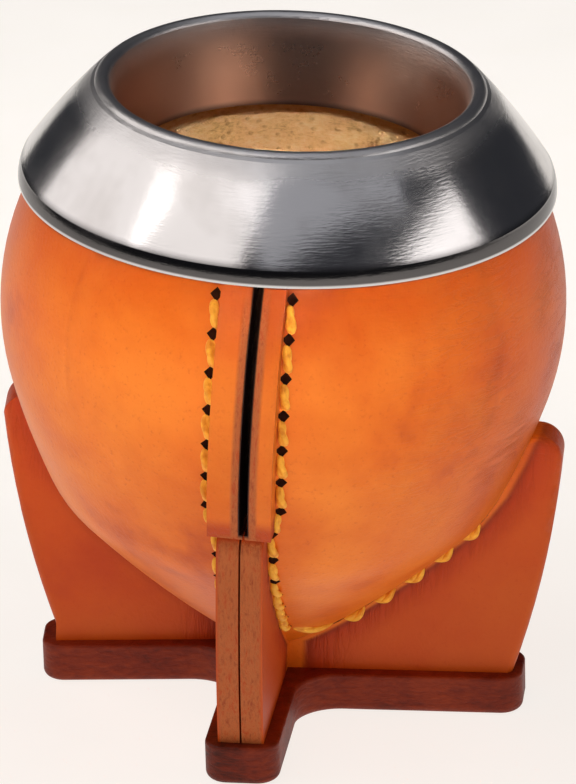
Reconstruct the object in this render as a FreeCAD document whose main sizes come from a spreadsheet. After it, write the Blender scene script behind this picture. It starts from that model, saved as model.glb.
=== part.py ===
"""Leather-covered mate gourd with a spun metal rim, standing on a leather cross. Sizes in millimetres.

Z is up and the floor is z = 0. The front seam faces -Y. The upper parts share one small lean.
"""
import FreeCAD, Part
import math
import os
import Sketcher

Vector = FreeCAD.Vector
doc = FreeCAD.newDocument("mate_gourd")

# ---------------------------------------------------------------- sizes
sheet = doc.addObject("Spreadsheet::Sheet", "sizes")
SIZES = [
    # the whole cup leans a little on its feet
    ("lean_forward", 2.7), ("lean_right", 3.3), ("lean_pivot_height", 60.0), ("lean_pivot_across", 1.1),
    # covered belly: four arcs that run into each other, from the equator down
    ("belly_radius", 44.9), ("belly_height", 69.0), ("flank_curve", 123.0), ("haunch_curve", 19.0),
    ("keel_curve", 220.0), ("flank_from", 16.5), ("haunch_from", 24.5), ("keel_from", 43.0),
    ("keel_to", 53.0),
    # leather
    ("leather_thickness", 2.6), ("leather_top_height", 93.0), ("seam_gap", 0.3),
    # dried gourd shell
    ("gourd_clearance", 0.2), ("gourd_wall", 3.5), ("gourd_top_height", 97.0),
    # metal collar
    ("metal_thickness", 1.0), ("sleeve_bottom_radius", 25.0), ("sleeve_bottom_height", 92.1),
    ("mouth_radius", 28.3), ("bead_base_height", 105.7), ("bead_width", 2.4), ("bead_curve", 1.3),
    ("groove_width", 0.6), ("groove_depth", 0.4), ("skirt_radius", 42.4), ("skirt_edge_height", 89.6),
    ("skirt_curve", 100.0), ("skirt_turn_in", 0.5), ("skirt_turn_up", 2.6), ("skirt_turn_curve", 7.0),
    ("sleeve_clearance", 0.25),
    # sole
    ("sole_height", 6.6), ("sole_ledge", 2.3), ("sole_corner_round", 3.6), ("sole_inner_round", 7.0),
    ("sole_bottom_round", 1.3), ("sole_top_round", 0.5),
    # fins below the belly, each of two leather layers
    ("fin_layer", 3.5), ("fin_edge_curve", 170.0), ("fin_edge_round", 1.3), ("fin_shoulder_round", 4.0),
    ("seam_turn", -98.2), ("front_fin_foot", 35.2), ("front_fin_shoulder", 44.8),
    ("back_fin_foot", 36.0), ("back_fin_shoulder", 44.8),
    ("right_fin_turn", -7.1), ("right_fin_shift", -3.6), ("right_fin_top", 51.5), ("right_fin_foot", 39.3),
    ("right_fin_shoulder", 46.0),
    ("left_fin_turn", 177.4), ("left_fin_shift", -7.1), ("left_fin_top", 48.5), ("left_fin_foot", 35.5),
    ("left_fin_shoulder", 44.6),
    # raised flanges of the front and back seams, above the fins
    ("flange_width_left", 5.0), ("flange_width_right", 3.6), ("flange_gap", 1.3), ("flange_shift", 0.65),
    ("flange_roll", 0.9), ("flange_foot_height", 49.5), ("flange_foot_radius", 45.6),
    ("flange_top_drop", 0.3),
    ("flange_top_radius", 41.9), ("flange_curve", 43.0), ("flange_slot_radius", 38.0),
    ("flange_cut_step", 0.3), ("flange_overhang", 0.9),
    # sewing thread
    ("thread_thickness", 1.5), ("thread_clearance", 0.25), ("stitch_pitch", 6.0), ("thread_end_height", 15.5),
    ("thread_reach_right", 37.0), ("thread_reach_left", 16.0),
]
# sizes that follow from others: the centres of the belly's lower arcs, which share their tangents
FOLLOWING = [
    ("flank_centre_across", "(belly_radius - flank_curve) * cos(flank_from * 1 deg)"),
    ("flank_centre_up", "belly_height - (belly_radius - flank_curve) * sin(flank_from * 1 deg)"),
    ("haunch_centre_across", "flank_centre_across + (flank_curve - haunch_curve) * cos(haunch_from * 1 deg)"),
    ("haunch_centre_up", "flank_centre_up - (flank_curve - haunch_curve) * sin(haunch_from * 1 deg)"),
    ("keel_centre_across", "haunch_centre_across + (haunch_curve - keel_curve) * cos(keel_from * 1 deg)"),
    ("keel_centre_up", "haunch_centre_up - (haunch_curve - keel_curve) * sin(keel_from * 1 deg)"),
    ("seat_inset", "leather_thickness + gourd_clearance"),
    ("hollow_inset", "seat_inset + gourd_wall"),
    ("sleeve_slope", "(mouth_radius - sleeve_bottom_radius) / (bead_base_height - sleeve_bottom_height)"),
    ("bore_radius", "sleeve_bottom_radius + metal_thickness + sleeve_clearance"
                    " + sleeve_slope * (gourd_top_height - sleeve_bottom_height)"),
    ("fin_thickness", "2 * fin_layer + seam_gap"),
    ("flange_thickness", "flange_width_left + flange_width_right + flange_gap"),
]
row = 1
for name, number in SIZES:
    sheet.set("A%d" % row, name)
    sheet.set("B%d" % row, str(number))
    sheet.setAlias("B%d" % row, name)
    row = row + 1
for name, formula in FOLLOWING:
    sheet.set("A%d" % row, name)
    sheet.set("B%d" % row, "=" + formula)
    sheet.setAlias("B%d" % row, name)
    row = row + 1
doc.recompute()


def number_of(expression):
    """The value of an expression on the sheet's sizes."""
    return float(doc.getObject("sizes").evalExpression(expression))


def sheet_names(expression):
    """The same expression as another object reads it, with each size's sheet named."""
    names = [name for name, _ in SIZES + FOLLOWING]
    words = []
    word = ""
    for letter in expression + " ":
        if letter.isalnum() or letter == "_":
            word = word + letter
            continue
        words.append("sizes." + word if word in names else word)
        words.append(letter)
        word = ""
    return "".join(words).strip()


def bind(thing, path, expression):
    thing.setExpression(path, sheet_names(expression))


# ---------------------------------------------------------------- sketch helpers
def origin_plane(body, role):
    for feature in body.Origin.OriginFeatures:
        if feature.Role == role:
            return feature


def bowed_edge(start, end, radius, bulge):
    """An arc from start to end; bulge 1 leans to the right of the way it runs, -1 to the left."""
    chord = end - start
    half = chord.Length / 2
    rise = radius - math.sqrt(radius * radius - half * half)
    aside = Vector(chord.y, -chord.x, 0)
    aside.normalize()
    return Part.Arc(start, (start + end) / 2 + aside * rise * bulge, end)


def draw_outline(body, role, corners, name):
    """A closed sketch through corners (across, up, edge), every point held by an expression.

    edge is None for a straight edge to the next corner, or (radius, bulge) for an arc.
    """
    sketch = body.newObject("Sketcher::SketchObject", name)
    sketch.AttachmentSupport = [(origin_plane(body, role), "")]
    sketch.MapMode = "FlatFace"
    points = [Vector(number_of(across), number_of(up), 0) for across, up, _ in corners]
    ends = []
    for index, (across, up, edge) in enumerate(corners):
        start = points[index]
        end = points[(index + 1) % len(points)]
        if edge is None:
            line = sketch.addGeometry(Part.LineSegment(start, end), False)
        else:
            line = sketch.addGeometry(bowed_edge(start, end, number_of(edge[0]), edge[1]), False)
        begins = 1 if (sketch.getPoint(line, 1) - start).Length < 1e-6 else 2
        ends.append((line, begins, 3 - begins))
    for index, (across, up, edge) in enumerate(corners):
        line, begins, _ = ends[index]
        before, _, before_end = ends[index - 1]
        sketch.addConstraint(Sketcher.Constraint("Coincident", before, before_end, line, begins))
        if across == "0":
            sketch.addConstraint(Sketcher.Constraint("PointOnObject", line, begins, -2))
        else:
            held = sketch.addConstraint(
                Sketcher.Constraint("DistanceX", -1, 1, line, begins, points[index].x))
            bind(sketch, "Constraints[%d]" % held, across)
        held = sketch.addConstraint(Sketcher.Constraint("DistanceY", -1, 1, line, begins, points[index].y))
        bind(sketch, "Constraints[%d]" % held, up)
        if edge is not None:
            held = sketch.addConstraint(Sketcher.Constraint("Radius", line, number_of(edge[0])))
            bind(sketch, "Constraints[%d]" % held, edge[0])
    return sketch


def new_body(name, label, placement):
    body = doc.addObject("PartDesign::Body", name)
    body.Label = label
    body.Placement = placement
    return body


def revolve(body, corners, name, kind="PartDesign::Revolution"):
    sketch = draw_outline(body, "XZ_Plane", corners, name + "_outline")
    turned = body.newObject(kind, name)
    turned.Profile = sketch
    turned.ReferenceAxis = (sketch, ["V_Axis"])
    turned.Angle = 360
    sketch.Visibility = False
    return turned


def plate(name, label, placement, corners, thickness):
    """A flat plate in its body's XZ plane, as thick on each side of it."""
    body = new_body(name, label, placement)
    sketch = draw_outline(body, "XZ_Plane", corners, name + "_outline")
    pad = body.newObject("PartDesign::Pad", name + "_pad")
    pad.Profile = sketch
    pad.SideType = "Symmetric"
    bind(pad, "Length", thickness)
    sketch.Visibility = False
    return body


# ---------------------------------------------------------------- where things stand
tilt = FreeCAD.Rotation(Vector(0, 1, 0), number_of("lean_right")).multiply(
    FreeCAD.Rotation(Vector(1, 0, 0), number_of("lean_forward")))
pivot = Vector(number_of("lean_pivot_across"), 0, number_of("lean_pivot_height"))
leaning = FreeCAD.Placement(
    pivot - tilt.multVec(Vector(0, 0, number_of("lean_pivot_height"))), tilt)
upright = FreeCAD.Placement()


about_face = FreeCAD.Placement(Vector(), FreeCAD.Rotation(Vector(0, 0, 1), 180))
seam_placing = leaning.multiply(
    FreeCAD.Placement(Vector(), FreeCAD.Rotation(Vector(0, 0, 1), number_of("seam_turn"))))


def fin_place(side):
    """The leaning frame turned and shifted to one fin's middle plane, X outward."""
    if side == "front":
        return seam_placing
    if side == "back":
        return seam_placing.multiply(about_face)
    turn = FreeCAD.Rotation(Vector(0, 0, 1), number_of(side + "_fin_turn"))
    shift = turn.multVec(Vector(0, number_of(side + "_fin_shift"), 0))
    return leaning.multiply(FreeCAD.Placement(shift, turn))


def flange_place(side):
    """The middle plane of the seam above the fins, which rolls a little from the fins' plane."""
    foot = Vector(0, 0, number_of("flange_foot_height"))
    roll = FreeCAD.Placement(
        foot + Vector(0, number_of("flange_shift"), 0),
        FreeCAD.Rotation(Vector(1, 0, 0), -number_of("flange_roll")))
    front = seam_placing.multiply(roll).multiply(FreeCAD.Placement(-foot, FreeCAD.Rotation()))
    return front if side == "front" else front.multiply(about_face)


# ---------------------------------------------------------------- belly outline
def below_equator(inset):
    """The belly's lower arcs and flat keel, moved inward by inset, from the flank down to the axis."""
    arcs = [("flank", "haunch_from"), ("haunch", "keel_from"), ("keel", "keel_to")]
    corners = [(
        "(belly_radius - (%s)) * cos(flank_from * 1 deg)" % inset,
        "belly_height - (belly_radius - (%s)) * sin(flank_from * 1 deg)" % inset,
        ("flank_curve - (%s)" % inset, -1))]
    for part, turn in arcs:
        reach = "(%s_curve - (%s))" % (part, inset)
        across = "%s_centre_across + %s * cos(%s * 1 deg)" % (part, reach, turn)
        up = "%s_centre_up - %s * sin(%s * 1 deg)" % (part, reach, turn)
        following = {"flank": "haunch", "haunch": "keel", "keel": None}[part]
        edge = None if following is None else ("%s_curve - (%s)" % (following, inset), -1)
        corners.append((across, up, edge))
    corners.append(("0", corners[-1][1], None))
    return corners


def belly_outline(inset, top):
    ball = "(belly_radius - (%s))" % inset
    rim = "sqrt(%s ^ 2 - (%s - belly_height) ^ 2)" % (ball, top)
    return [("0", top, None), (rim, top, (ball, -1))] + below_equator(inset)


# ---------------------------------------------------------------- gourd
gourd = new_body("gourd", "Dried gourd shell", leaning)
revolve(gourd, belly_outline("seat_inset", "gourd_top_height"), "gourd_shell")
ball = "(belly_radius - hollow_inset)"
hollow = [
    ("0", "gourd_top_height + 1", None),
    ("bore_radius", "gourd_top_height + 1", None),
    ("bore_radius", "belly_height + sqrt(%s ^ 2 - bore_radius ^ 2)" % ball, (ball, -1)),
] + below_equator("hollow_inset")
revolve(gourd, hollow, "gourd_hollow", "PartDesign::Groove")

# ---------------------------------------------------------------- metal collar
bead_outer = "mouth_radius + bead_width"
skirt_top = "mouth_radius + bead_width + groove_width"
collar = new_body("collar", "Spun metal collar", leaning)
revolve(collar, [
    ("sleeve_bottom_radius", "sleeve_bottom_height", None),
    ("mouth_radius", "bead_base_height", ("bead_curve", -1)),
    (bead_outer, "bead_base_height", None),
    (skirt_top, "bead_base_height - groove_depth", ("skirt_curve", -1)),
    ("skirt_radius - skirt_turn_in", "skirt_edge_height + skirt_turn_up", ("skirt_turn_curve", -1)),
    ("skirt_radius", "skirt_edge_height", None),
    ("skirt_radius - metal_thickness", "skirt_edge_height", None),
    ("skirt_radius - skirt_turn_in - 1.1 * metal_thickness", "skirt_edge_height + skirt_turn_up - 0.3",
     ("skirt_curve - metal_thickness", 1)),
    (skirt_top, "bead_base_height - groove_depth - 1.2 * metal_thickness", None),
    ("mouth_radius + metal_thickness - 0.2", "bead_base_height - metal_thickness", None),
    ("sleeve_bottom_radius + metal_thickness", "sleeve_bottom_height", None),
], "collar_shell")

# ---------------------------------------------------------------- leather pieces before joining
belly = new_body("belly", "Leather over the belly", leaning)
revolve(belly, belly_outline("0", "leather_top_height"), "belly_solid")
seat = new_body("seat", "Room for the gourd", leaning)
revolve(seat, belly_outline("leather_thickness", "gourd_top_height + 1"), "seat_solid")


def fin_outline(side, top):
    foot = "%s_fin_foot" % side
    shoulder = "%s_fin_shoulder" % side
    return [
        ("0", "-4", None),
        (foot, "-4", None),
        (foot, "sole_height", ("fin_edge_curve", 1)),
        (shoulder, "%s - fin_shoulder_round" % top, ("fin_shoulder_round", 1)),
        ("%s - fin_shoulder_round" % shoulder, top, None),
        ("0", top, None)]


joined = [belly]
taken = [seat]
for side, to_right in (("front", 1), ("back", -1)):
    joined.append(plate(side + "_fin", side + " seam fin", fin_place(side),
                        fin_outline(side, "flange_foot_height"), "fin_thickness"))
    flange_top = "skirt_edge_height - flange_top_drop"
    place = flange_place(side)
    uneven = to_right * (number_of("flange_width_right") - number_of("flange_width_left")) / 2
    beside = place.multiply(FreeCAD.Placement(Vector(0, uneven, 0), FreeCAD.Rotation()))
    joined.append(plate(side + "_flange", side + " seam flanges", beside, [
        ("flange_slot_radius", "flange_foot_height - flange_overhang", None),
        ("flange_foot_radius", "flange_foot_height - flange_overhang", ("flange_curve", 1)),
        ("flange_top_radius", flange_top, None),
        ("flange_slot_radius - 4", flange_top, None)], "flange_thickness"))
    taken.append(plate(side + "_slot", side + " seam slot", place, [
        ("flange_slot_radius", "flange_foot_height", None),
        ("belly_radius + 15", "flange_foot_height", None),
        ("belly_radius + 15", "leather_top_height + 1", None),
        ("flange_slot_radius - 4", "leather_top_height + 1", None)], "flange_gap"))
for side in ("right", "left"):
    fin = plate(side + "_fin", side + " folded fin", fin_place(side),
                fin_outline(side, side + "_fin_top"), "fin_thickness")
    doc.recompute()
    pad = fin.Tip
    outer = number_of(side + "_fin_foot") - 3
    edges = []
    for index, edge in enumerate(pad.Shape.Edges):
        middle = edge.CenterOfMass
        flat = abs(abs(middle.y) - number_of("fin_thickness") / 2) < 1e-4
        if flat and middle.x > outer and edge.Length > 4 * number_of("fin_shoulder_round"):
            edges.append("Edge%d" % (index + 1))
    fold = fin.newObject("PartDesign::Fillet", side + "_fin_fold")
    fold.Base = (pad, edges)
    bind(fold, "Radius", "fin_edge_round")
    joined.append(fin)

floor = doc.addObject("Part::Box", "below_sole_top")
floor.Label = "Space taken by the sole"
bind(floor, "Height", "sole_height + 10")
floor.Length = 160
floor.Width = 160
floor.Placement = FreeCAD.Placement(Vector(-80, -80, -10), FreeCAD.Rotation())
taken.append(floor)

jacket_whole = doc.addObject("Part::MultiFuse", "jacket_whole")
jacket_whole.Label = "Leather before cutting"
jacket_whole.Shapes = joined
room = doc.addObject("Part::MultiFuse", "jacket_room")
room.Label = "Space taken out of the leather"
room.Shapes = taken
jacket = doc.addObject("Part::Cut", "jacket")
jacket.Label = "Leather jacket before parting"
jacket.Base = jacket_whole
jacket.Tool = room

# ---------------------------------------------------------------- two halves, parted at the seams
def block(name, place, near, to_right, low, high):
    """A large box on one side of a seam plane, from near outward and from low to high."""
    box = doc.addObject("Part::Box", name)
    box.Label = name.replace("_", " ")
    box.Length = 160
    box.Width = 80
    box.Height = high - low
    across = near if to_right else -near - 80
    box.Placement = place.multiply(FreeCAD.Placement(Vector(-80, across, low), FreeCAD.Rotation()))
    return box


# below the flanges the halves part at the fins' plane and above at the flanges', with a step between
halves = {}
step = number_of("flange_foot_height") - number_of("flange_overhang")
near = number_of("seam_gap") / 2
for side in ("left", "right"):
    to_right = side == "right"
    lower_top = step - number_of("flange_cut_step") if to_right else step + 2
    upper_foot = step - 3 if to_right else step
    blocks = doc.addObject("Part::MultiFuse", side + "_side")
    blocks.Label = side + " of the seams"
    blocks.Shapes = [
        block(side + "_of_fins", fin_place("front"), near, to_right, -20, lower_top),
        block(side + "_of_flanges", flange_place("front"), near, to_right, upper_foot, 130),
        block(side + "_away_from_seams", fin_place("front"), 5, to_right, -20, 130)]
    half = doc.addObject("Part::MultiCommon", "leather_" + side)
    half.Label = side + " half of the leather jacket"
    half.Shapes = [jacket, blocks]
    halves[side] = half


# ---------------------------------------------------------------- sole
def foot_point(place, out):
    """Where a fin's middle plane meets the sole's top, at a distance out along the fin."""
    along = place.Rotation.multVec(Vector(1, 0, 0))
    upward = place.Rotation.multVec(Vector(0, 0, 1))
    rise = (number_of("sole_height") - place.Base.z - out * along.z) / upward.z
    return place.multVec(Vector(out, 0, rise))


def line_crossing(point, way, other, other_way):
    spread = way.x * other_way.y - way.y * other_way.x
    gap = other - point
    return point + way * ((gap.x * other_way.y - gap.y * other_way.x) / spread)


half_width = number_of("fin_thickness") / 2 + number_of("sole_ledge")
arms = []
for side in ("front", "right", "back", "left"):
    place = fin_place(side)
    root = foot_point(place, 0)
    tip = foot_point(place, number_of(side + "_fin_foot"))
    way = tip - root
    way.z = 0
    way.normalize()
    tip = tip + way * number_of("sole_ledge")
    aside = Vector(-way.y, way.x, 0)
    arms.append((tip, way, aside))
sole_corners = []
for index, (tip, way, aside) in enumerate(arms):
    next_tip, next_way, next_aside = arms[(index + 1) % 4]
    sole_corners.append((tip - aside * half_width, number_of("sole_corner_round")))
    sole_corners.append((tip + aside * half_width, number_of("sole_corner_round")))
    inner = line_crossing(tip + aside * half_width, way, next_tip - next_aside * half_width, next_way)
    sole_corners.append((inner, number_of("sole_inner_round")))

sole = new_body("sole", "Leather sole", upright)
sole_sketch = sole.newObject("Sketcher::SketchObject", "sole_outline")
sole_sketch.AttachmentSupport = [(origin_plane(sole, "XY_Plane"), "")]
sole_sketch.MapMode = "FlatFace"
rounded = []
for index, (corner, radius) in enumerate(sole_corners):
    before = sole_corners[index - 1][0] - corner
    after = sole_corners[(index + 1) % len(sole_corners)][0] - corner
    before.z = 0
    after.z = 0
    opening = before.getAngle(after)
    reach = radius / math.tan(opening / 2)
    start = corner + before.normalize() * reach
    end = corner + after.normalize() * reach
    toward = (before + after).normalize()
    middle = corner + toward * (radius / math.sin(opening / 2) - radius)
    rounded.append([Vector(p.x, p.y, 0) for p in (start, middle, end)])
for index, (start, middle, end) in enumerate(rounded):
    sole_sketch.addGeometry(Part.Arc(start, middle, end), False)
    sole_sketch.addGeometry(Part.LineSegment(end, rounded[(index + 1) % len(rounded)][0]), False)
sole_pad = sole.newObject("PartDesign::Pad", "sole_pad")
sole_pad.Profile = sole_sketch
bind(sole_pad, "Length", "sole_height")
doc.recompute()


def level_edges(shape, height):
    return ["Edge%d" % (index + 1) for index, edge in enumerate(shape.Edges)
            if all(abs(vertex.Z - height) < 1e-4 for vertex in edge.Vertexes)]


sole_under = sole.newObject("PartDesign::Fillet", "sole_under_edge")
sole_under.Base = (sole_pad, level_edges(sole_pad.Shape, 0))
bind(sole_under, "Radius", "sole_bottom_round")
doc.recompute()
sole_over = sole.newObject("PartDesign::Fillet", "sole_over_edge")
sole_over.Base = (sole_under, level_edges(sole_under.Shape, number_of("sole_height")))
bind(sole_over, "Radius", "sole_top_round")


# ---------------------------------------------------------------- sewing thread
def keel_reach(height):
    """Radius of the covered belly at a height."""
    ball = number_of("belly_radius")
    up = height - number_of("belly_height")
    if up > -ball * math.sin(math.radians(number_of("flank_from"))):
        return math.sqrt(ball * ball - up * up)
    limits = {"flank": "haunch_from", "haunch": "keel_from", "keel": "keel_to"}
    for part in ("flank", "haunch", "keel"):
        curve = number_of(part + "_curve")
        centre = number_of(part + "_centre_up")
        low = centre - curve * math.sin(math.radians(number_of(limits[part])))
        if height >= low or part == "keel":
            drop = min(curve, centre - height)
            return number_of(part + "_centre_across") + math.sqrt(curve * curve - drop * drop)


def belly_normal(point):
    """Outward direction of the covered belly at a point of its outline (radius, height)."""
    radius, height = point
    step = 0.05
    slope = (keel_reach(height + step) - keel_reach(height - step)) / (2 * step)
    normal = Vector(1, -slope, 0)
    return normal.normalize()


thread_radius = number_of("thread_thickness") / 2
stand_off = thread_radius + number_of("thread_clearance")
thread_top = number_of("skirt_edge_height") - number_of("flange_top_drop") - stand_off
thread_end = number_of("thread_end_height")


def heights_by_pitch(start, end):
    """Heights along the belly outline from start to end, one stitch apart along it."""
    heights = [start]
    step = 0.02 if end > start else -0.02
    height = start
    travelled = 0
    while abs(end - height) > abs(step):
        travelled = travelled + math.hypot(step, keel_reach(height + step) - keel_reach(height))
        height = height + step
        if travelled >= number_of("stitch_pitch"):
            heights.append(height)
            travelled = 0
    return heights


def lifted(height):
    """Radius and height of the thread's middle where it lies on the belly at a height."""
    normal = belly_normal((keel_reach(height), height))
    return keel_reach(height) + normal.x * stand_off, height + normal.y * stand_off


def on_belly(turn, away, height):
    """The thread's middle on the belly, away from the plane at an angle of turn round the axis."""
    radius, up = lifted(height)
    along = math.sqrt(max(radius * radius - away * away, 0.01))
    return FreeCAD.Rotation(Vector(0, 0, 1), turn).multVec(Vector(along, away, up))


def beside_flange(height, side):
    """How far the thread lies from the fins' plane where it runs outside a flange."""
    rolled = (height - number_of("flange_foot_height")) * math.tan(math.radians(number_of("flange_roll")))
    half = number_of("flange_gap") / 2 + number_of("flange_width_" + side) + stand_off
    return number_of("flange_shift") + rolled + (half if side == "right" else -half)


def beside_fin(side):
    """How far the thread lies from the fins' plane where it runs outside the fin."""
    half = number_of("fin_thickness") / 2 + stand_off
    return half if side == "right" else -half


def seam_column(turn, front, side):
    """Points down one side of a seam: outside the flange to its foot, then outside the fin."""
    step_in = number_of("flange_foot_height") - number_of("flange_overhang") - 2 * stand_off
    upper = heights_by_pitch(thread_top, step_in + 2) + [step_in]
    lower = heights_by_pitch(step_in, thread_end)[1:]
    points = [on_belly(turn, front * beside_flange(height, side), height) for height in upper]
    return points + [on_belly(turn, front * beside_fin(side), height) for height in lower]


def between(first, last, height):
    """Points round the belly at one height, between two points, half a stitch apart."""
    start = math.degrees(math.atan2(first.y, first.x))
    sweep = (math.degrees(math.atan2(last.y, last.x)) - start + 180) % 360 - 180
    radius, up = lifted(height)
    pieces = max(1, math.ceil(abs(math.radians(sweep)) * radius / (number_of("stitch_pitch") / 2)))
    points = []
    for piece in range(1, pieces):
        angle = math.radians(start + sweep * piece / pieces)
        points.append(Vector(radius * math.cos(angle), radius * math.sin(angle), up))
    return points


def thread_along(points):
    """One thread: a straight stitch between each two holes, with a round joint at each hole."""
    whole = Part.makeSphere(thread_radius, points[0])
    parts = []
    for start, end in zip(points[:-1], points[1:]):
        way = end - start
        parts.append(Part.makeCylinder(thread_radius, way.Length, start, way))
        parts.append(Part.makeSphere(thread_radius, end))
    return whole.multiFuse(parts).removeSplitter()


threads = []
for seam in ("front", "back"):
    for side in ("left", "right"):
        front = 1 if seam == "front" else -1
        turn = number_of("seam_turn") + (0 if seam == "front" else 180)
        column = seam_column(turn, front, side)
        fin_face = front * (-1 if side == "right" else 1)
        away = number_of(side + "_fin_shift") + fin_face * (number_of("fin_thickness") / 2 + stand_off)
        rank = [on_belly(number_of(side + "_fin_turn"), away, height)
                for height in heights_by_pitch(thread_end, number_of("belly_height"))
                if keel_reach(height) < number_of("thread_reach_" + side)]
        rank = [point for point in rank if (point - column[-1]).Length > 2]
        corner = between(column[-1], rank[0], thread_end) if rank else []
        thread = doc.addObject("Part::Feature", "thread_%s_%s" % (seam, side))
        thread.Label = "Waxed thread, %s seam, %s side" % (seam, side)
        thread.Shape = thread_along(column + corner + rank)
        thread.Placement = leaning
        threads.append(thread)

# ---------------------------------------------------------------- check and write
doc.recompute()
for thing in doc.Objects:
    for word in ("Invalid", "Error"):
        if word in thing.State:
            raise RuntimeError("%s is %s" % (thing.Name, thing.State))
nodes = [gourd, collar, halves["left"], halves["right"], sole] + threads
for node in nodes:
    if node.Shape.isNull() or not node.Shape.isValid():
        raise RuntimeError("bad shape: " + node.Name)
os.makedirs("parts", exist_ok=True)
for node in nodes:
    node.Shape.exportStep("parts/%s.step" % node.Name)
    box = node.Shape.BoundBox
    print(node.Name, len(node.Shape.Solids), round(node.Shape.Volume / 1000, 2), "cm3",
          [round(v, 1) for v in (box.XMin, box.YMin, box.ZMin, box.XMax, box.YMax, box.ZMax)])
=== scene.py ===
import bpy
import bmesh
import math
import random
from mathutils import Euler, Matrix, Vector
from mathutils.bvhtree import BVHTree


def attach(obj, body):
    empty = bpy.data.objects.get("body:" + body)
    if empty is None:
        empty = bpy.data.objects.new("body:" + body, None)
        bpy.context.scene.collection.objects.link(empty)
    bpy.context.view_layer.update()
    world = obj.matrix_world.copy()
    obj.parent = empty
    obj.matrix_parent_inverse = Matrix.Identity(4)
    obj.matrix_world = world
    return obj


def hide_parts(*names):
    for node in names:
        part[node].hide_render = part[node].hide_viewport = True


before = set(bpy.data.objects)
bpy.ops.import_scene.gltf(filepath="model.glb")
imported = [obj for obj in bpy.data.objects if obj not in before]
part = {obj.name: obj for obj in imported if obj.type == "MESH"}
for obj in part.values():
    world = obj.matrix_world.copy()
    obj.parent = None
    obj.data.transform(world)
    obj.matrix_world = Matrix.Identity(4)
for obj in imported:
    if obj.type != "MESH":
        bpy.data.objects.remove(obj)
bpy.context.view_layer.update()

# ---------------------------------------------------------------- dried gourd
# The shell of a dried calabash, cut open at the top and scraped clean. Its pale tan inner wall,
# with brown fibres and pits, shows below the metal sleeve in the mouth.
GOURD_PALE = (0.95, 0.66, 0.34, 1)
GOURD_TAN = (0.88, 0.52, 0.22, 1)
GOURD_BROWN = (0.50, 0.22, 0.07, 1)
GOURD_SHADE = (0.010, 0.004, 0.002, 1)
GOURD_MIDDLE = (0, 0, 0.009)


class Wire:
    """A value on its way through a finish: sums on it add the nodes that work them out."""

    def __init__(self, tree, socket=None):
        self.tree, self.socket = tree, socket

    def node(self, kind, settings=None, inputs=None, output=0):
        made = self.tree.nodes.new(kind)
        for name, value in (settings or {}).items():
            if name == "stops":
                row = made.color_ramp.elements
                row.remove(row[1])
                row[0].position, row[0].color = value[0]
                for place, colour in value[1:]:
                    row.new(place).color = colour
            else:
                setattr(made, name, value)
        for name, value in (inputs or {}).items():
            if isinstance(value, Wire):
                self.tree.links.new(value.socket, made.inputs[name])
            else:
                made.inputs[name].default_value = value
        return Wire(self.tree, made.outputs[output])

    def sum_of(self, operation, first, second=0.0):
        return self.node("ShaderNodeMath", {"operation": operation}, {0: first, 1: second})

    def __add__(self, other):
        return self.sum_of("ADD", self, other)

    def __sub__(self, other):
        return self.sum_of("SUBTRACT", self, other)

    def __rsub__(self, other):
        return self.sum_of("SUBTRACT", other, self)

    def __mul__(self, other):
        return self.sum_of("MULTIPLY", self, other)

    def __truediv__(self, other):
        return self.sum_of("DIVIDE", self, other)

    def __abs__(self):
        return self.sum_of("ABSOLUTE", self)

    __radd__, __rmul__ = __add__, __mul__

    def rise(self, low, high):
        """0 below low, 1 above high, with an easy slope between."""
        return self.node("ShaderNodeMapRange", {"interpolation_type": "SMOOTHSTEP"},
                         {"Value": self, "From Min": low, "From Max": high})

    def tint(self, other, share, blend="MIX"):
        """This colour with a share of another over it."""
        return self.node("ShaderNodeMix", {"data_type": "RGBA", "blend_type": blend},
                         {0: share, 6: self, 7: other}, 2)

    def along(self, way):
        """How far this place lies along a direction."""
        return self.node("ShaderNodeVectorMath", {"operation": "DOT_PRODUCT"}, {0: self, 1: way}, 1)

    def stretched(self, x, y, z):
        return self.node("ShaderNodeVectorMath", {"operation": "MULTIPLY"}, {0: self, 1: (x, y, z)})

    def grain(self, scale, detail=3.0, roughness=0.55, twist=0.0):
        """Cloudy noise from 0 to 1."""
        return self.node("ShaderNodeTexNoise", {},
                         {"Vector": self, "Scale": scale, "Detail": detail, "Roughness": roughness,
                          "Distortion": twist})


def new_finish(name):
    """A material with only its shader and output, and the place on the piece."""
    finish = bpy.data.materials.new(name)
    finish.use_nodes = True
    start = Wire(finish.node_tree)
    place = start.node("ShaderNodeTexCoord", output=3)
    return finish, place


def finished(finish, sockets, bump=None, strength=0.5, depth=0.001):
    """Sets the shader's own sockets, with a bump from a height where one is given."""
    tree = finish.node_tree
    shader = tree.nodes["Principled BSDF"]
    if bump is not None:
        sockets["Normal"] = bump.node("ShaderNodeBump", {}, {"Strength": strength, "Distance": depth,
                                                             "Height": bump})
    for name, value in sockets.items():
        if isinstance(value, Wire):
            tree.links.new(value.socket, shader.inputs[name])
        else:
            shader.inputs[name].default_value = value


def wear(piece, finish):
    """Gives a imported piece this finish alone."""
    piece.data.materials.clear()
    piece.data.materials.append(finish)


# the cup leans on its foot, so finishes and stitches are laid out in its own upright frame
LEAN = Euler((math.radians(2.7), math.radians(3.3), 0))
LEAN_PIVOT = Vector((0.0011, 0, 0.060))


def upright(place):
    """The same place in the cup's own frame, measured from the lean pivot."""
    return place.node("ShaderNodeMapping", {"vector_type": "TEXTURE"},
                      {"Vector": place, "Location": LEAN_PIVOT, "Rotation": LEAN})


def off_axis(spot):
    """How far an upright place is from the cup's axis."""
    return spot.node("ShaderNodeVectorMath", {"operation": "LENGTH"}, {0: spot.stretched(1, 1, 0)}, 1)


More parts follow.
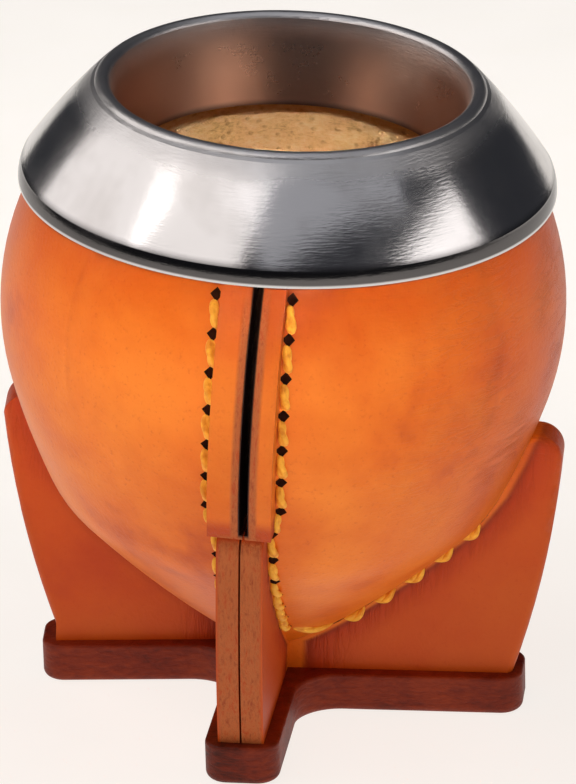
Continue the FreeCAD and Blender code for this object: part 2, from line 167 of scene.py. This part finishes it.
gourd_finish, place = new_finish("dried_gourd")
mottle = place.grain(110, 5, 0.65, 0.4)
fibres = place.stretched(1, 1, 2.2).grain(900, 5, 0.75)
pits = place.node("ShaderNodeTexVoronoi", {}, {"Vector": place, "Scale": 520.0}).rise(0.08, 0.3)
colour = mottle.node("ShaderNodeValToRGB", {"stops": [
    (0.34, GOURD_BROWN), (0.47, GOURD_TAN), (0.60, GOURD_PALE)]}, {0: mottle * 0.5 + fibres * 0.5})
colour = colour.tint(GOURD_BROWN, (1 - pits) * 0.4)
# its outside shows only as the floor of the seam's gap, and is nearly black so that the gap looks
# shaded and not like bare gourd
from_middle = place.node("ShaderNodeVectorMath", {"operation": "SUBTRACT"},
                         {0: upright(place), 1: GOURD_MIDDLE})
outward = place.node("ShaderNodeNewGeometry", output=1).along(from_middle)
colour = colour.tint(GOURD_SHADE, outward.rise(-0.002, 0.004))
finished(gourd_finish, {
    "Base Color": colour,
    "Roughness": 0.85 - 0.15 * mottle,
    "Specular IOR Level": 0.12},
         fibres * 0.6 + pits * 0.5, 0.6, 0.0008)
wear(part["gourd"], gourd_finish)

# ---------------------------------------------------------------- metal collar
# A collar of light metal over the gourd's cut edge, polished outside, with a fine turned grain and
# a rolled lip round the mouth.
METAL_BRIGHT = (0.70, 0.68, 0.67, 1)
METAL_WORN = (0.55, 0.52, 0.50, 1)
METAL_WARM = (0.80, 0.54, 0.41, 1)
METAL_DARK = (0.06, 0.055, 0.055, 1)
MOUTH_RADIUS = 0.027

collar_finish, place = new_finish("spun_metal")
around = upright(place)
lathe = around.stretched(0.12, 0.12, 1).grain(3800, 2, 0.5)
satin = place.grain(900, 4, 0.7)
cloud = place.grain(60, 3, 0.6)
# two tints stand for reflections: the inner wall of the sleeve is warm brown, as if it mirrored the
# gourd, and the skirt's turned lower edge is dark, so that it doesn't mirror the glowing table
level = around.along((0, 0, 1)) + LEAN_PIVOT.z
inside = 1 - (off_axis(around) - MOUTH_RADIUS).rise(0.0008, 0.0016)
lip = level.rise(0.1015, 0.1050)
turned_edge = level.rise(0.0898, 0.0902) * (1 - level.rise(0.0918, 0.0932))
metal = cloud.node("ShaderNodeValToRGB", {"stops": [
    (0.5, METAL_BRIGHT), (0.8, METAL_WORN)]}, {0: cloud})
finished(collar_finish, {
    "Base Color": metal.tint(METAL_WARM, inside * (1 - level.rise(0.100, 0.107) * 0.5)).tint(
        METAL_DARK, turned_edge * 0.9),
    "Metallic": 1.0,
    "Roughness": 0.11 + 0.08 * cloud.rise(0.35, 0.7) + 0.05 * satin + 0.14 * inside + lip * 0.20},
    lathe * (0.4 + 1.2 * lip) + satin * (0.4 + 1.2 * lip), 0.14, 0.0002)
wear(part["collar"], collar_finish)

# ---------------------------------------------------------------- leather cover
# Two halves of thick tan leather, shaped over the gourd and sewn together at the front and back.
# Each is pinched into a fin below the belly; the cut edges show raw fibre.
SEAM_TURN = math.radians(-98.2)
FLANGE_SHIFT = 0.00065
FLANGE_FOOT = 0.0495
FLANGE_SLOPE = math.tan(math.radians(0.9))
LEATHER_ORANGE = (0.76, 0.150, 0.006, 1)
LEATHER_AMBER = (0.88, 0.225, 0.018, 1)
LEATHER_RUSSET = (0.44, 0.038, 0.002, 1)
LEATHER_CREASE_SHADE = (0.16, 0.020, 0.004, 1)
RAW_EDGE = (0.50, 0.13, 0.035, 1)
RAW_DARK = (0.32, 0.050, 0.012, 1)
SEAM_SHADE = (0.012, 0.003, 0.002, 1)
RAY_START = 0.08

lean = Matrix.Translation(LEAN_PIVOT) @ LEAN.to_matrix().to_4x4() @ Matrix.Translation((0, 0, -LEAN_PIVOT.z))


def skin_of(names):
    """The pieces' surface, to lay stitches on."""
    body = bmesh.new()
    for name in names:
        body.from_mesh(part[name].data)
    return BVHTree.FromBMesh(body)


leather_skin = skin_of(("leather_left", "leather_right"))


def drop_on_leather(turn, away, height):
    """Where a level line from outside, beside the plane at an angle of turn, meets the leather."""
    out = Vector((math.cos(turn), math.sin(turn), 0))
    start = lean @ (out * RAY_START + Vector((-out.y, out.x, 0)) * away + Vector((0, 0, height)))
    hit, normal, _, _ = leather_skin.ray_cast(start, lean.to_3x3() @ -out)
    return hit, normal


def belly_reach(height):
    """The covered belly's radius at a height, measured between the fins."""
    reach = []
    for turn in (-140, -50, 45, 135):
        hit, _ = drop_on_leather(math.radians(turn), 0, height)
        if hit is not None:
            local = lean.inverted() @ hit
            reach.append(math.hypot(local.x, local.y))
    return min(reach) if reach else 0.010


leather_finish, place = new_finish("tanned_leather")
spot = upright(place)
facing = place.node("ShaderNodeNewGeometry", output=1)
height = spot.along((0, 0, 1)) + LEAN_PIVOT.z
# how far a place stands proud of the belly, whose outline is a ramp of radii by height
PROFILE_FOOT, PROFILE_TOP, PROFILE_STEPS, WIDEST = 0.012, 0.092, 14, 0.05
tall = PROFILE_TOP - PROFILE_FOOT
stops = []
for step in range(PROFILE_STEPS + 1):
    share = step / PROFILE_STEPS
    stops.append((share, (belly_reach(PROFILE_FOOT + tall * share) / WIDEST,) * 3 + (1,)))
belly = place.node("ShaderNodeValToRGB", {"stops": stops}, {0: (height - PROFILE_FOOT) / tall}) * WIDEST
proud = off_axis(spot) - belly
seam_out = Vector((math.cos(SEAM_TURN), math.sin(SEAM_TURN), 0))
seam_side = Vector((-seam_out.y, seam_out.x, 0))
level_face = lean.to_3x3() @ seam_out
off_seam = spot.along(seam_side)
above_fins = height.rise(0.0485, 0.0497)
off_flange = abs(off_seam - FLANGE_SHIFT - (height - FLANGE_FOOT) * FLANGE_SLOPE)
on_fin = proud.rise(0.0006, 0.0016) * (1 - height.rise(0.050, 0.053))
near_crease = 1 - proud.rise(0.001, 0.009)

cloud = place.grain(28, 4, 0.6, 0.3)
blotch = place.grain(95, 4, 0.6)
pores = place.grain(1500, 3, 0.6)
# wrinkles run level round the belly and get stronger to the right; on the fins they run downward
wrinkle_field = spot.stretched(0.22, 0.22, 1.25).grain(560, 5, 0.62, 0.9)
wrinkles = (1 - abs(wrinkle_field - 0.5).rise(0.0, 0.06)) * place.grain(110, 3, 0.5).rise(0.25, 0.75)
wrinkle_share = spot.along((1, 0, 0)).rise(0.004, 0.040) * height.rise(0.035, 0.060)
fin_field = spot.stretched(1.3, 1.3, 0.16).grain(520, 4, 0.6, 0.6)
fin_wrinkles = (1 - abs(fin_field - 0.5).rise(0.0, 0.07)) * on_fin * near_crease

colour = cloud.node("ShaderNodeValToRGB", {"stops": [
    (0.28, LEATHER_RUSSET), (0.45, LEATHER_ORANGE), (0.62, LEATHER_AMBER)]},
    {0: cloud * 0.70 + blotch * 0.30})
# painted shade: the belly is tinted darker towards the top, under the collar's overhanging edge
colour = colour.tint(LEATHER_RUSSET, height.rise(0.070, 0.092) * 0.6)
# painted shade: the fins, under the belly's overhang, are tinted darker all over and darker still by the
# crease
colour = colour.tint(LEATHER_RUSSET, on_fin * (0.72 + 0.28 * near_crease))
colour = colour.tint(LEATHER_RUSSET, above_fins * proud.rise(0.0008, 0.0018) * 0.15)
# painted shade: the right flank of the belly, turned away from the stronger lights at the left, is tinted
# darker
colour = colour.tint(LEATHER_RUSSET, spot.along((1, 0, 0)).rise(0.012, 0.046) * (1 - on_fin) * 0.45)
# painted shade in the crease where each fin meets the belly
colour = colour.tint(LEATHER_CREASE_SHADE, on_fin * (1 - proud.rise(0.0006, 0.0030)) * 0.7)
# painted shade in the creases of the wrinkles, on the belly and on the fins
colour = colour.tint(LEATHER_CREASE_SHADE, wrinkles * wrinkle_share * 0.14 + fin_wrinkles * 0.12)
colour = colour.tint(LEATHER_RUSSET, pores.rise(0.55, 0.8) * 0.3)

# raw cut edges of the front and back fins and flanges: faces turned out along the seam
turned_out = abs(facing.along(level_face)).rise(0.80, 0.93)
raw_flange = above_fins * (1 - off_flange.rise(0.0016, 0.0023))
raw_fin = (1 - above_fins) * (1 - abs(off_seam).rise(0.0030, 0.0036))
raw = turned_out * (raw_flange + raw_fin) * proud.rise(0.0012, 0.0022)
strands = spot.stretched(1, 1, 0.16).grain(1500, 5, 0.75, 0.2)
# the walls of the seam's gap are nearly black too, for the same look
seam_gap = above_fins * (1 - off_flange.rise(0.0007, 0.0010))
raw_colour = strands.node("ShaderNodeValToRGB", {"stops": [
    (0.30, RAW_DARK), (0.50, RAW_EDGE), (0.72, LEATHER_RUSSET)]}, {0: strands})
colour = colour.tint(raw_colour, raw).tint(SEAM_SHADE, seam_gap)
relief = (cloud * 0.3 + pores * 0.25 - wrinkles * wrinkle_share * 0.4 - fin_wrinkles * 0.4
          + raw * strands * 1.4)
finished(leather_finish, {
    "Base Color": colour,
    "Roughness": 0.34 + 0.16 * blotch + raw * 0.3 + on_fin * 0.08,
    "Specular IOR Level": 0.24,
    "Coat Weight": 0.05,
    "Coat Roughness": 0.25},
    relief, 0.55, 0.0006)
for name in ("leather_left", "leather_right"):
    wear(part[name], leather_finish)

# ---------------------------------------------------------------- sole
# A cross of thick dark red leather under the four fins.
SOLE_RED = (0.17, 0.017, 0.004, 1)
SOLE_DARK = (0.050, 0.006, 0.002, 1)
SOLE_LIGHT = (0.28, 0.036, 0.007, 1)

sole_finish, place = new_finish("sole_leather")
cloud = place.grain(60, 4, 0.6, 0.3)
layers = place.stretched(1, 1, 3.2).grain(420, 4, 0.65, 0.4)
pores = place.grain(1400, 3, 0.6)
colour = cloud.node("ShaderNodeValToRGB", {"stops": [
    (0.34, SOLE_DARK), (0.50, SOLE_RED), (0.68, SOLE_LIGHT)]}, {0: cloud * 0.6 + layers * 0.4})
finished(sole_finish, {
    "Base Color": colour,
    "Roughness": 0.42 + 0.2 * layers,
    "Specular IOR Level": 0.2,
    "Coat Weight": 0.03,
    "Coat Roughness": 0.3},
    layers * 0.8 + pores * 0.3, 0.5, 0.0006)
wear(part["sole"], sole_finish)

# ---------------------------------------------------------------- sewing thread
# Thick thread in golden yellow, two plies twisted together, in stitches six millimetres long down
# both sides of each seam and on along the side fins, with a dark mark of painted shade for the hole at each
# end.
THREAD_GOLD = (0.96, 0.47, 0.045, 1)
THREAD_SHADE = (0.78, 0.28, 0.018, 1)
STITCH_PITCH = 0.006
STRAND_RADIUS = 0.00060
PLY_SPREAD = 0.00044
STITCH_LIFT = 0.00085
STITCH_DIP = 0.00015
SLANT = 0.0006
FLANGE_HALF = {"left": 0.00565, "right": 0.00425}
FIN_HALF = 0.0035
STAND_OFF = 0.0008
FIN_TURN = {"left": math.radians(177.4), "right": math.radians(-7.1)}
FIN_SHIFT = {"left": -0.0071, "right": -0.0036}
THREAD_TOP = 0.0872
THREAD_END = 0.0165
BELLY_MIDDLE = 0.069
RANK_REACH = {"left": 0.016, "right": 0.037}
SEARCH_STEP = 0.0001
LONGEST_STRIDE = 0.0006
MARK_EDGE, MARK_CENTRE, MARK_SUNK = 0.00006, 0.00010, 0.0003
# painted shade: the dark colours inside the stitch holes
HOLE_SHADE_DARK = (0.008, 0.002, 0.001, 1)
HOLE_SHADE_BROWN = (0.022, 0.005, 0.002, 1)

thread_finish, place = new_finish("waxed_thread")
fluff = place.grain(700, 2, 0.5)
finished(thread_finish, {
    "Base Color": fluff.node("ShaderNodeValToRGB", {"stops": [
        (0.36, THREAD_SHADE), (0.56, THREAD_GOLD)]}, {0: fluff}),
    "Roughness": 0.45 + 0.2 * fluff,
    "Specular IOR Level": 0.3},
    fluff, 0.25, 0.0002)

hole_shade_finish, place = new_finish("awl_hole_shade")
hole_shade_mottle = place.grain(900, 2, 0.5)
finished(hole_shade_finish, {
    "Base Color": hole_shade_mottle.node("ShaderNodeValToRGB", {"stops": [
        (0.3, HOLE_SHADE_DARK), (0.7, HOLE_SHADE_BROWN)]}, {0: hole_shade_mottle}),
    "Specular IOR Level": 0.05,
    "Roughness": 0.8 + 0.1 * hole_shade_mottle}, hole_shade_mottle, 0.4, 0.0002)


def holes_down(turn, away_at, start, end):
    """Places for stitch holes, a stitch apart on the leather, from one height to another."""
    found = []
    step = SEARCH_STEP if end > start else -SEARCH_STEP
    height = start
    travelled, last = STITCH_PITCH, None
    while (end - height) * step > 0:
        hit, normal = drop_on_leather(turn, away_at(height), height)
        if hit is not None:
            if last is not None:
                travelled = travelled + min((hit - last).length, LONGEST_STRIDE)
            last = hit
            if travelled >= STITCH_PITCH:
                found.append((hit, normal))
                travelled = 0
        height = height + step
    return found


def lay_stitch(body, first, second, side_turn):
    """One stitch of two twisted plies that rises from one hole and dips into the next."""
    (a, a_up), (b, b_up) = first, second
    up = (a_up + b_up).normalized()
    way = b - a
    across = way.normalized().cross(up).normalized()
    up = across.cross(way.normalized()).normalized()
    rings, sides = 14, 8
    for ply in (0, 1):
        loops = []
        for ring in range(rings + 1):
            share = ring / rings
            reach = 0.13 + 0.74 * share
            swell = math.sin(math.pi * share) ** 0.55
            lift = STITCH_LIFT * math.sin(math.pi * share) ** 0.6 - STITCH_DIP
            twist = math.pi * (ply + 0.8 * share + 0.15) + side_turn
            spread = PLY_SPREAD * swell
            beside_line = (0.5 - share) * SLANT + math.cos(twist) * spread
            middle = a + way * reach + across * beside_line + up * (lift + math.sin(twist) * spread * 0.6)
            radius = STRAND_RADIUS * (0.30 + 0.70 * swell)
            loops.append([body.verts.new(middle + across * math.cos(t) * radius + up * math.sin(t) * radius)
                          for t in (2 * math.pi * side / sides for side in range(sides))])
        for low, high in zip(loops[:-1], loops[1:]):
            for side in range(sides):
                after = (side + 1) % sides
                body.faces.new((low[side], low[after], high[after], high[side]))
        body.faces.new(loops[0][::-1])
        body.faces.new(loops[-1])


def mark_hole_shade(body, hole, way):
    """A thin dark diamond pad, a hair proud of the leather, that stands for a stitch hole; its dark colour
    is painted shade inside the hole.
    """
    middle, up = hole
    across = way.cross(up).normalized()
    along = up.cross(across).normalized()
    rim = [along * 0.00120, across * 0.00105, along * -0.00110, across * -0.00095]
    top = [body.verts.new(middle + corner + up * MARK_EDGE) for corner in rim]
    foot = [body.verts.new(middle + corner * 0.9 - up * MARK_SUNK) for corner in rim]
    centre = body.verts.new(middle + up * MARK_CENTRE)
    for corner in range(4):
        after = (corner + 1) % 4
        body.faces.new((top[corner], top[after], centre))
        body.faces.new((foot[corner], foot[after], top[after], top[corner]))
    body.faces.new(foot[::-1])


def piece_from(body, name, finish, smooth=True):
    """A shown piece that rides with the cup."""
    bmesh.ops.recalc_face_normals(body, faces=body.faces)
    mesh = bpy.data.meshes.new(name)
    body.to_mesh(mesh)
    body.free()
    if smooth:
        mesh.shade_smooth()
    piece = bpy.data.objects.new(name, mesh)
    bpy.context.scene.collection.objects.link(piece)
    mesh.materials.append(finish)
    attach(piece, "root")
    return piece


hand = random.Random(7)
for seam, front in (("front", 1), ("back", -1)):
    for side in ("left", "right"):
        sign = front * (1 if side == "right" else -1)
        turn = SEAM_TURN if seam == "front" else SEAM_TURN + math.pi

        def beside(height):
            if height > FLANGE_FOOT:
                rolled = (height - FLANGE_FOOT) * FLANGE_SLOPE
                half = FLANGE_HALF[side] * (1 if side == "right" else -1)
                return front * (FLANGE_SHIFT + rolled + half) + sign * STAND_OFF
            return sign * (FIN_HALF + STAND_OFF)

        column = holes_down(turn, beside, THREAD_TOP, THREAD_END)
        away = FIN_SHIFT[side] - sign * (FIN_HALF + STAND_OFF)
        rank = holes_down(FIN_TURN[side], lambda height: away, THREAD_END, BELLY_MIDDLE)
        rank = [hole for hole in rank
                if math.hypot(*(lean.inverted() @ hole[0]).xy) < RANK_REACH[side]]
        name = "thread_%s_%s" % (seam, side)
        stitches, holes = bmesh.new(), bmesh.new()
        for row in (column, rank):
            for first, second in zip(row[:-1], row[1:]):
                lay_stitch(stitches, first, second, hand.uniform(-0.3, 0.3))
                mark_hole_shade(holes, first, second[0] - first[0])
            if len(row) > 1:
                mark_hole_shade(holes, row[-1], row[-1][0] - row[-2][0])
        if column and rank:
            lay_stitch(stitches, column[-1], rank[0], 0)
        piece = piece_from(stitches, "stitches_%s_%s" % (seam, side), thread_finish)
        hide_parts(name)
        piece_from(holes, "awl_holes_%s_%s" % (seam, side), hole_shade_finish, False)

# ---------------------------------------------------------------- table, light and camera
# A table top that glows pale by itself, with soft window-like lights on both sides and above, a
# warm fill from the front and a narrow beam into the mouth.
TABLE_PALE = (0.20, 0.19, 0.18, 1)
TABLE_GLOW = (1.0, 0.955, 0.905, 1)
GLOW_STRENGTH = 0.84
SKY_COLOUR = (0.80, 0.84, 1.0, 1)
SKY_STRENGTH = 0.035
MOUTH_BEAM = math.radians(7)
SENSOR_WIDTH = 36
LENS = 258.34
VIEW_AIM = Vector((0.001926, 0, 0.05274))
VIEW_AHEAD = Vector((0, 0.92455, -0.38107))
VIEW_ABOVE = Vector((0.02792, 0.38092, 0.92419))
VIEW_DISTANCE = 0.9001

table = bmesh.new()
bmesh.ops.create_grid(table, x_segments=2, y_segments=2, size=3.0)
mesh = bpy.data.meshes.new("table_top")
table.to_mesh(mesh)
table.free()
table_top = bpy.data.objects.new("table_top", mesh)
bpy.context.scene.collection.objects.link(table_top)
table_finish, place = new_finish("table_top")
speck = place.grain(40, 2, 0.5)
finished(table_finish, {"Base Color": speck.tint(TABLE_PALE, 0.9), "Roughness": 0.8,
                        "Specular IOR Level": 0.1, "Emission Color": TABLE_GLOW,
                        "Emission Strength": GLOW_STRENGTH})
wear(table_top, table_finish)

world = bpy.data.worlds.new("studio")
bpy.context.scene.world = world
world.use_nodes = True
world.node_tree.nodes["Background"].inputs[0].default_value = SKY_COLOUR
world.node_tree.nodes["Background"].inputs[1].default_value = SKY_STRENGTH


def softbox(name, size, glow, place, target=(0, 0, 0.07), tint=(1, 0.98, 0.96)):
    """A soft rectangular light, turned to its target."""
    lamp = bpy.data.lights.new(name, "AREA")
    lamp.shape = "RECTANGLE"
    lamp.size, lamp.size_y = size
    lamp.energy = glow * math.pi * size[0] * size[1]
    lamp.color = tint
    light = bpy.data.objects.new(name, lamp)
    bpy.context.scene.collection.objects.link(light)
    light.location = place
    light.rotation_euler = (Vector(target) - Vector(place)).to_track_quat("-Z", "Y").to_euler()
    return light


softbox("left_window", (0.75, 0.55), 1.15, (-0.64, 0.10, 0.50), tint=(1, 0.95, 0.93))
softbox("left_head", (0.60, 0.46), 1.15, (-0.36, -0.34, 0.70), tint=(1, 0.95, 0.93))
softbox("right_window", (0.62, 0.20), 1.5, (0.66, -0.28, 0.44), tint=(1, 0.96, 0.95))
softbox("top_sheet", (1.10, 1.25), 0.40, (0.08, -0.14, 0.98), tint=(0.92, 0.93, 1.0))
mouth_lamp = softbox("mouth_lamp", (0.24, 0.10), 1.0, (0.0, -0.80, 0.50), (0, 0.02, 0.100), (1, 0.93, 0.85))
mouth_lamp.data.spread = MOUTH_BEAM
front_fill = softbox("front_fill", (0.85, 0.24), 1.35, (0.0, -0.62, 0.12), (0, 0, 0.05), (1, 0.95, 0.90))
# the metal mirrors the other lights as bright patches, but not these two
for lamp in (mouth_lamp, front_fill):
    lamp.visible_glossy = False

bpy.context.scene.view_settings.view_transform = "Standard"

lens = bpy.data.cameras.new("camera")
lens.sensor_width = SENSOR_WIDTH
lens.lens = LENS
camera = bpy.data.objects.new("camera", lens)
bpy.context.scene.collection.objects.link(camera)
beside_view = VIEW_AHEAD.cross(VIEW_ABOVE)
camera.matrix_world = Matrix.Translation(VIEW_AIM - VIEW_AHEAD * VIEW_DISTANCE) @ Matrix(
    (beside_view, VIEW_ABOVE, -VIEW_AHEAD)).transposed().to_4x4()
lens.clip_start = 0.05
bpy.context.scene.camera = camera
